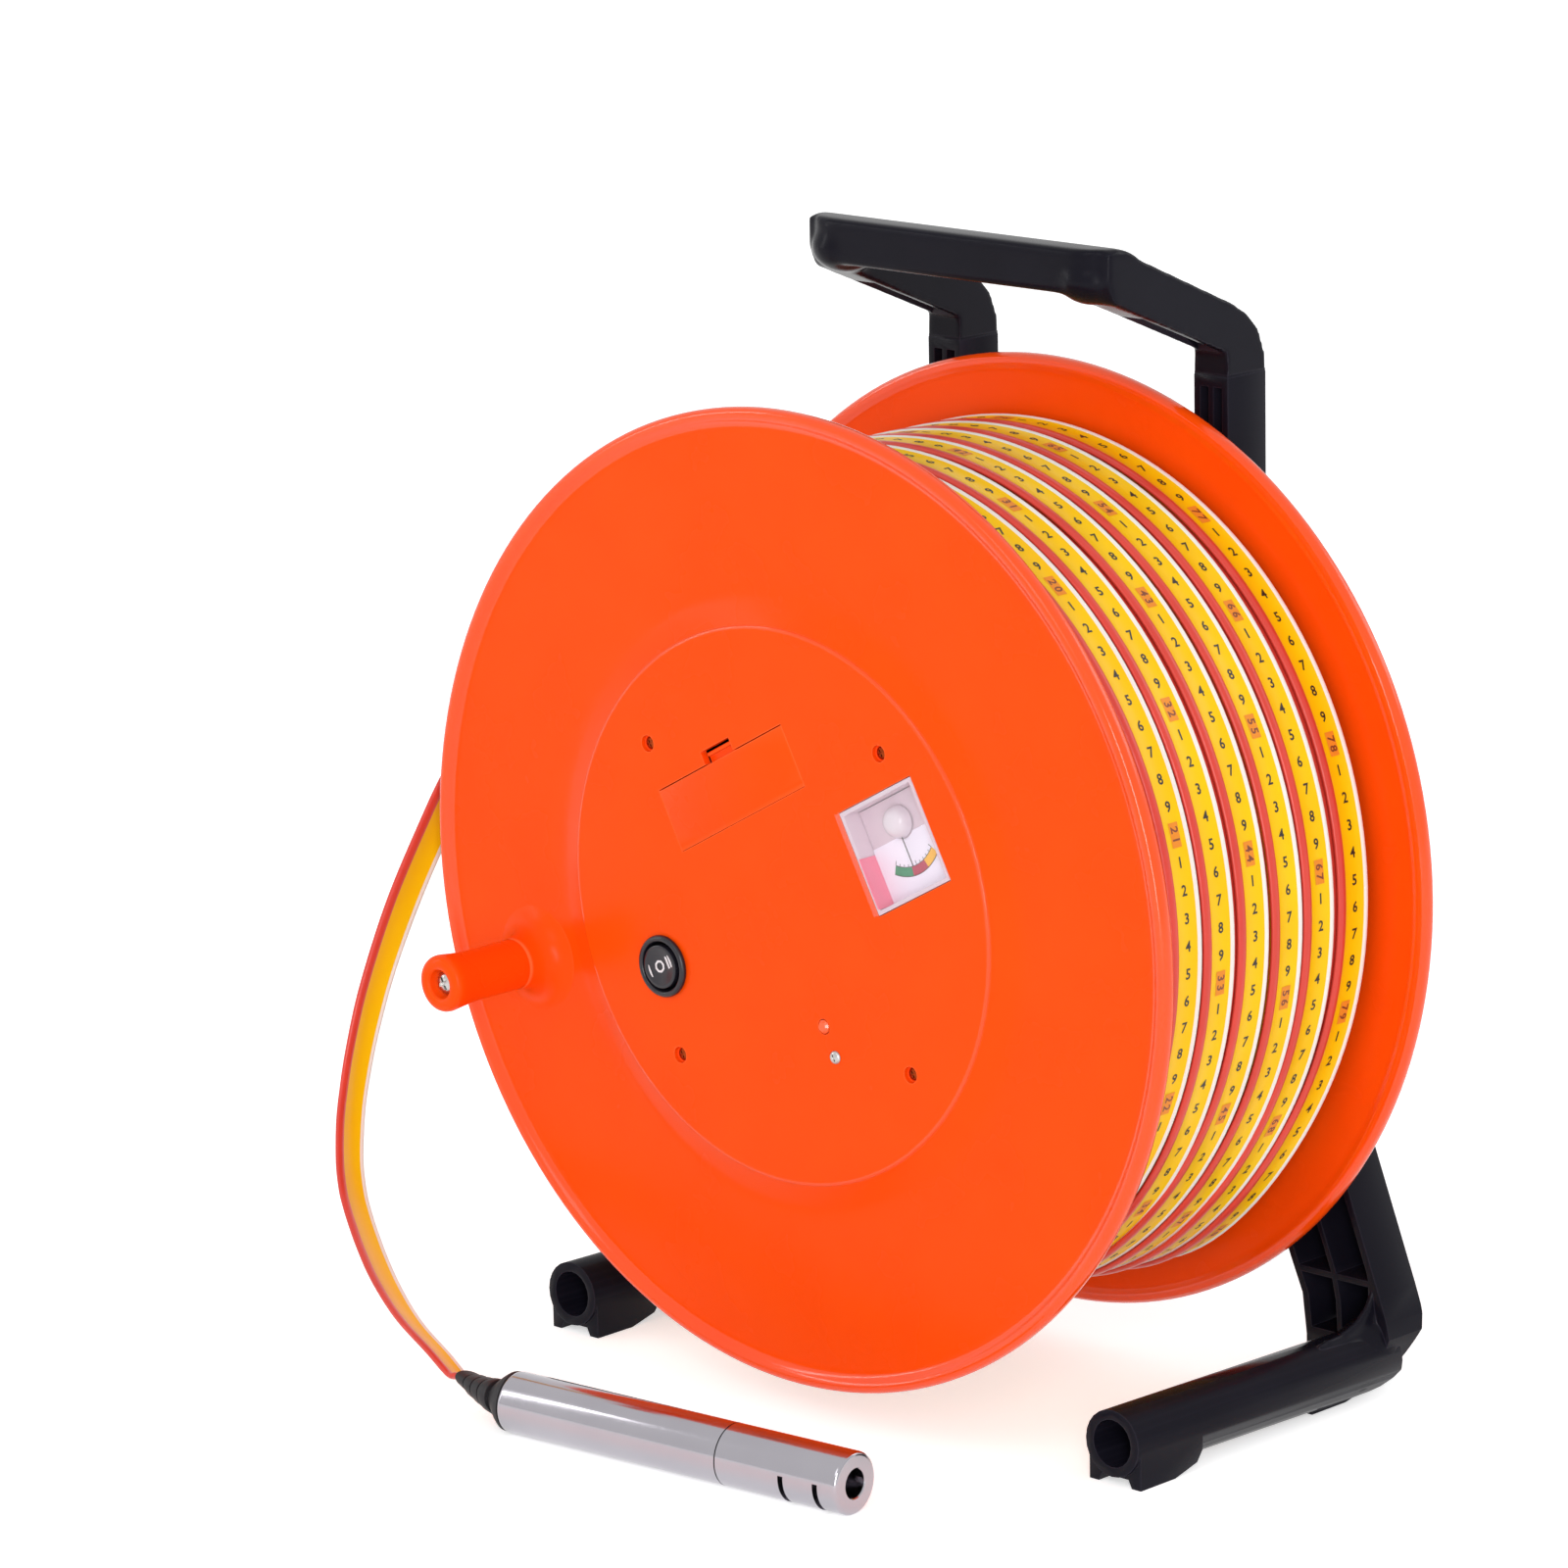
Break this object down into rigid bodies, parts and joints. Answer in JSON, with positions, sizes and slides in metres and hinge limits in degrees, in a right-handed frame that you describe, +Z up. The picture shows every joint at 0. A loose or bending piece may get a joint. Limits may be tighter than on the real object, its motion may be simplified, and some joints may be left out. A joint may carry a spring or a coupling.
{
  "type": "water level meter",
  "caption": "Hand-wound water level meter: an orange reel of yellow measuring tape on a black stand with a carrying grip, and a steel probe at the tape's free end.",
  "frame": {"origin": "On the floor under the middle of the part's box, measured without the free tape", "axes": "+X to the right seen from the front, +Y to the back along the reel's axle, +Z up"},
  "size_m": [0.3812, 0.2605, 0.4135],
  "materials": {
    "black_plastic": "fine grained black plastic",
    "orange_plastic": "satin orange plastic",
    "stainless_steel": "fine turned stainless steel",
    "zinc_plate": "bright zinc plate",
    "bronze": "sintered bronze",
    "tape_plastic": "yellow coated tape with a red and a white edge",
    "black_rubber": "matt black rubber",
    "white_plastic": "white plastic",
    "clear_plastic": "clear plastic",
    "battery_case": "dark painted steel can",
    "board_green": "green lacquered board"
  },
  "bodies": {
    "stand": {"stand_frame": "black_plastic", "axle": "stainless_steel", "rear_washer": "zinc_plate", "front_washer": "zinc_plate", "retaining_ring": "zinc_plate", "free_tape": "tape_plastic", "probe_boot": "black_rubber", "probe_upper_barrel": "stainless_steel", "probe_nose": "stainless_steel", "probe_seal": "black_rubber", "probe_insulator": "white_plastic", "probe_electrode": "stainless_steel"},
    "reel": {"front_flange": "orange_plastic", "rear_flange": "orange_plastic", "drum_core": "black_plastic", "front_bush": "bronze", "rear_bush": "bronze", "wound_tape": "tape_plastic", "panel_screw_1": "zinc_plate", "panel_screw_2": "zinc_plate", "panel_screw_3": "zinc_plate", "panel_screw_4": "zinc_plate", "rear_screw_1": "zinc_plate", "rear_screw_2": "zinc_plate", "rear_screw_3": "zinc_plate", "rear_screw_4": "zinc_plate", "crank_screw": "zinc_plate", "crank_nut": "zinc_plate", "battery_tray": "black_plastic", "battery": "battery_case", "battery_connector": "black_rubber", "meter_housing": "white_plastic", "meter_dial": "white_plastic", "meter_movement": "zinc_plate", "meter_cover": "clear_plastic", "switch_body": "black_plastic", "circuit_board": "board_green", "indicator_lamp": "white_plastic", "buzzer": "black_plastic", "board_chip": "black_plastic", "board_screw": "zinc_plate"},
    "crank_knob": {"crank_knob": "orange_plastic"},
    "battery_door": {"battery_door": "orange_plastic"},
    "switch_rocker": {"switch_rocker": "black_plastic"},
    "meter_needle": {"meter_needle": "black_rubber"}
  },
  "joints": [
    {"name": "reel_axle", "type": "hinge", "parent": "stand", "child": "reel", "pos_m": [0, 0.0257, 0.1885], "axis": [0, 1, 0], "continuous": true},
    {"name": "crank_knob_spin", "type": "hinge", "parent": "reel", "child": "crank_knob", "pos_m": [-0.12499, -0.0713, 0.14861], "axis": [0, 1, 0], "continuous": true},
    {"name": "battery_door_hinge", "type": "hinge", "parent": "reel", "child": "battery_door", "pos_m": [-0.01656, -0.0479, 0.21899], "axis": [0.8788, 0, 0.4772], "range_deg": [0, 75]},
    {"name": "switch_rocker_tilt", "type": "hinge", "parent": "reel", "child": "switch_rocker", "pos_m": [-0.05624, -0.0474, 0.15796], "axis": [-0.4772, 0, 0.8788], "range_deg": [-10, 10]},
    {"name": "meter_needle_swing", "type": "hinge", "parent": "reel", "child": "meter_needle", "pos_m": [0.05243, -0.0441, 0.22607], "axis": [0, 1, 0], "range_deg": [-35, 35], "stiffness_Nm_per_rad": 0.0005}
  ]
}
